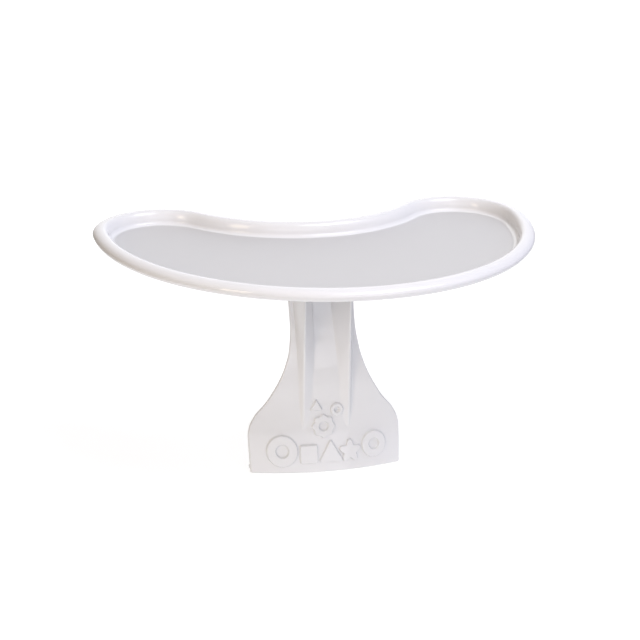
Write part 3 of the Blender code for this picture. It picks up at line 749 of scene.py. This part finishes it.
def white_plastic(name, white, floor_texture_and_shade):
    """Glossy white moulding: faint orange peel, hairline scratches, and a finely textured tray floor with
    painted shade: a darker grey on its upward faces.
    """
    nodes = Nodes(name)
    place = nodes.add("ShaderNodeTexCoord").outputs["Object"]
    cloud = nodes.noise(place, CLOUD_SCALE, detail=3.0)
    dull = white - CLOUD_DEPTH
    tint = nodes.mix(nodes.spread(cloud, 0.0, 1.0, *CLOUD_CONTRAST), (dull, dull, white - CLOUD_BLUE, 1),
                     (white, white, white + CLOUD_BLUE, 1))
    stretched = nodes.add("ShaderNodeMapping", {"Vector": place, "Rotation": (0, 0, radians(HAIR_TURN)),
                                                "Scale": HAIR_STRETCH})
    hair = nodes.noise(stretched.outputs["Vector"], 1.0)
    scratches = nodes.spread(hair, 0.0, HAIR_ROUGHNESS, *HAIR_CONTRAST)
    peel = nodes.noise(place, PEEL_SCALE, detail=1.0)
    grain = nodes.noise(place, GRAIN_SCALE)
    rough = nodes.math("ADD", nodes.spread(nodes.noise(place, GLOSS_SCALE), *GLOSS_RANGE), scratches)
    height = nodes.math("MULTIPLY", peel, PEEL_HEIGHT)
    if floor_texture_and_shade:
        rise = nodes.add("ShaderNodeSeparateXYZ", {"Vector": place}).outputs["Z"]
        on_floor = nodes.spread(rise, 1.0, 0.0, FLOOR_TOP + FLOOR_FADE[0], FLOOR_TOP + FLOOR_FADE[1])
        facing = nodes.add("ShaderNodeSeparateXYZ", {
            "Vector": nodes.add("ShaderNodeNewGeometry").outputs["Normal"]}).outputs["Z"]
        on_top = nodes.spread(facing, 0.0, 1.0, *FLOOR_FACING)
        floor = nodes.math("MULTIPLY", on_floor, on_top)
        # painted shade: the floor's upward faces are darkened to the floor's grey; the same mask also gives
        # them more roughness and a grain
        tint = nodes.mix(floor, tint, FLOOR_PAINTED_SHADE)
        rough = nodes.math("ADD", rough, nodes.math("MULTIPLY", floor, FLOOR_ROUGHNESS))
        floor_grain = nodes.math("MULTIPLY", nodes.math("MULTIPLY", grain, floor), GRAIN_HEIGHT)
        height = nodes.math("ADD", height, floor_grain)
    bump = nodes.add("ShaderNodeBump", {"Height": height, "Strength": 1.0, "Distance": 1.0})
    shader = nodes.shader
    nodes.link(tint, shader.inputs["Base Color"])
    nodes.link(rough, shader.inputs["Roughness"])
    nodes.link(bump.outputs["Normal"], shader.inputs["Normal"])
    shader.inputs["IOR"].default_value = PLASTIC_IOR
    return nodes.material


def zinc_steel():
    """Zinc-plated steel with a faint blotch and grain."""
    nodes = Nodes("zinc_steel")
    place = nodes.add("ShaderNodeTexCoord").outputs["Object"]
    blotch = nodes.noise(place, BLOTCH_SCALE, detail=3.0)
    nodes.link(nodes.mix(blotch, STEEL_DARK, STEEL_LIGHT), nodes.shader.inputs["Base Color"])
    nodes.link(nodes.spread(blotch, *STEEL_GLOSS), nodes.shader.inputs["Roughness"])
    bump = nodes.add("ShaderNodeBump", {"Height": nodes.noise(place, STEEL_GRAIN),
                                        "Distance": STEEL_GRAIN_HEIGHT})
    nodes.link(bump.outputs["Normal"], nodes.shader.inputs["Normal"])
    nodes.shader.inputs["Metallic"].default_value = 1.0
    return nodes.material


# ---- Studio --------------------------------------------------------------------------------------
def build_floor():
    """A white sheet that widens away from the camera; nearer and to the sides it passes into a grey floor."""
    half = STUDIO_FLOOR_HALF_SIZE
    z = CAD_BOX[0].z - STUDIO_FLOOR_GAP
    corners = [(-half, -half, z), (half, -half, z), (half, half, z), (-half, half, z)]
    floor = new_object("studio_floor", corners, [(0, 1, 2, 3)])
    nodes = Nodes("studio_floor")
    place = nodes.add("ShaderNodeTexCoord").outputs["Object"]
    turned_place = nodes.add("ShaderNodeVectorRotate", {"Vector": place, "Angle": -radians(CAMERA_AZIMUTH)},
                             rotation_type="Z_AXIS").outputs["Vector"]
    across = nodes.add("ShaderNodeSeparateXYZ", {"Vector": turned_place})
    side = nodes.math("ABSOLUTE", across.outputs["X"])
    away = across.outputs["Y"]
    width = nodes.spread(away, SHEET_NEAR_WIDTH, SHEET_FAR_WIDTH, -SHEET_NEAR, SHEET_FAR)
    beyond = nodes.math("SUBTRACT", side, width)
    white = nodes.math("MULTIPLY", nodes.spread(beyond, 1.0, 0.0, 0.0, SHEET_FADE),
                       nodes.spread(away, 0.0, 1.0, -SHEET_NEAR - SHEET_FADE, -SHEET_NEAR))
    grey = nodes.spread(white, FLOOR_GREY, FLOOR_WHITE)
    colour = nodes.add("ShaderNodeCombineColor", {"Red": grey, "Green": grey, "Blue": grey})
    nodes.link(colour.outputs["Color"], nodes.shader.inputs["Base Color"])
    glow = nodes.spread(away, FLOOR_GLOW, FLOOR_GLOW_FAR, 0.0, SHEET_FAR)
    nodes.link(nodes.math("MULTIPLY", white, glow), nodes.shader.inputs["Emission Strength"])
    nodes.shader.inputs["Roughness"].default_value = STUDIO_FLOOR_ROUGHNESS
    nodes.shader.inputs["Emission Color"].default_value = (1, 1, 1, 1)
    floor.data.materials.append(nodes.material)


def direction(azimuth, elevation):
    """The way out from the object at an azimuth and elevation in degrees; azimuth 0 is in front of it."""
    a, e = radians(azimuth), radians(elevation)
    return Vector((sin(a) * cos(e), -cos(a) * cos(e), sin(e)))


def softbox(name, azimuth, elevation, size, power, colour):
    """An area light that looks at the tray from a direction round it."""
    away = direction(azimuth, elevation)
    light = bpy.data.lights.new(name, "AREA")
    light.shape = "RECTANGLE"
    light.size, light.size_y = size
    light.energy = power
    light.color = colour
    made = bpy.data.objects.new(name, light)
    made.location = LAMP_AIM + away * LAMP_DISTANCE
    made.rotation_mode = "QUATERNION"
    made.rotation_quaternion = away.to_track_quat("Z", "Y")
    bpy.context.scene.collection.objects.link(made)


def build_world():
    """A tent of light: dim and warm on the left, cool on the right, dim low in front, bright at the back."""
    world = bpy.data.worlds.new("studio")
    world.use_nodes = True
    tree = world.node_tree
    way = tree.nodes.new("ShaderNodeSeparateXYZ")
    tree.links.new(tree.nodes.new("ShaderNodeTexCoord").outputs["Generated"], way.inputs["Vector"])

    def share(axis, limits):
        node = tree.nodes.new("ShaderNodeMapRange")
        node.interpolation_type = "SMOOTHSTEP"
        node.inputs["From Min"].default_value = limits[0]
        node.inputs["From Max"].default_value = limits[1]
        tree.links.new(way.outputs[axis], node.inputs["Value"])
        return node.outputs["Result"]

    def blend(factor, low, high):
        node = tree.nodes.new("ShaderNodeMix")
        node.data_type = "RGBA"
        for socket, value in zip(("Factor", "A", "B"), (factor, low, high)):
            if isinstance(value, bpy.types.NodeSocket):
                tree.links.new(value, node.inputs[socket])
            else:
                node.inputs[socket].default_value = value
        return node.outputs["Result"]

    def both(first, second):
        node = tree.nodes.new("ShaderNodeMath")
        node.operation = "MULTIPLY"
        tree.links.new(first, node.inputs[0])
        tree.links.new(second, node.inputs[1])
        return node.outputs[0]

    colour = blend(both(share("Z", SKY_FRONT_UP), share("Y", SKY_FRONT_BACKWARD)), SKY, SKY_FRONT)
    colour = blend(both(share("Z", SKY_BACK_UP), share("Y", SKY_BACK_BACKWARD)), colour, SKY_BACK)
    colour = blend(share("X", SKY_LEFT_RIGHTWARD), colour, SKY_LEFT)
    colour = blend(share("X", SKY_RIGHT_RIGHTWARD), colour, SKY_RIGHT)
    tree.links.new(colour, tree.nodes["Background"].inputs["Color"])
    bpy.context.scene.world = world


def build_lights():
    for lamp in LAMPS:
        softbox(*lamp)
    bpy.context.scene.view_settings.view_transform = "Standard"


def build_camera():
    """The camera looks past the middle of the rim, by the two aim distances across the picture."""
    roll = radians(CAMERA_ROLL)
    back = direction(CAMERA_AZIMUTH, CAMERA_ELEVATION)
    level_right = direction(CAMERA_AZIMUTH + 90, 0)
    level_up = back.cross(level_right)
    right = level_right * cos(roll) + level_up * sin(roll)
    up = level_up * cos(roll) - level_right * sin(roll)
    middle = Vector((0, (TRAY_LOW[1] + TRAY_HIGH[1]) / 2, RIM_Z))
    camera = bpy.data.objects.new("camera", bpy.data.cameras.new("camera"))
    camera.data.lens = LENS
    camera.data.sensor_width = SENSOR
    turn = Matrix((right, up, back)).transposed().to_4x4()
    place = middle + back * CAMERA_DISTANCE - right * CAMERA_AIM_RIGHT - up * CAMERA_AIM_UP
    camera.matrix_world = Matrix.Translation(place) @ turn
    bpy.context.scene.collection.objects.link(camera)
    bpy.context.scene.camera = camera


# ---- Everything ----------------------------------------------------------------------------------
def finish_piece(piece, material, slot, *nodes):
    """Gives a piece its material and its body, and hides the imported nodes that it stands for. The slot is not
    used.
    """
    piece.data.materials.clear()
    piece.data.materials.append(material)
    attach(piece, BODY)
    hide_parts(*nodes)


build_camera()
build_floor()
build_world()
build_lights()
finish_piece(build_tray(), white_plastic("tray_white", TRAY_WHITE, True), "tray_plastic", "tray")
# the stem's material is the tray's white made darker, as painted shade
finish_piece(build_stem(), white_plastic("stem_shaded_white", STEM_SHADED_WHITE, False), "stem_plastic", "stem")
steel = zinc_steel()
for place_name, place_x, place_y in screw_places():
    finish_piece(build_screw(place_name, place_x, place_y), steel, "screw_steel", f"screw_{place_name}")
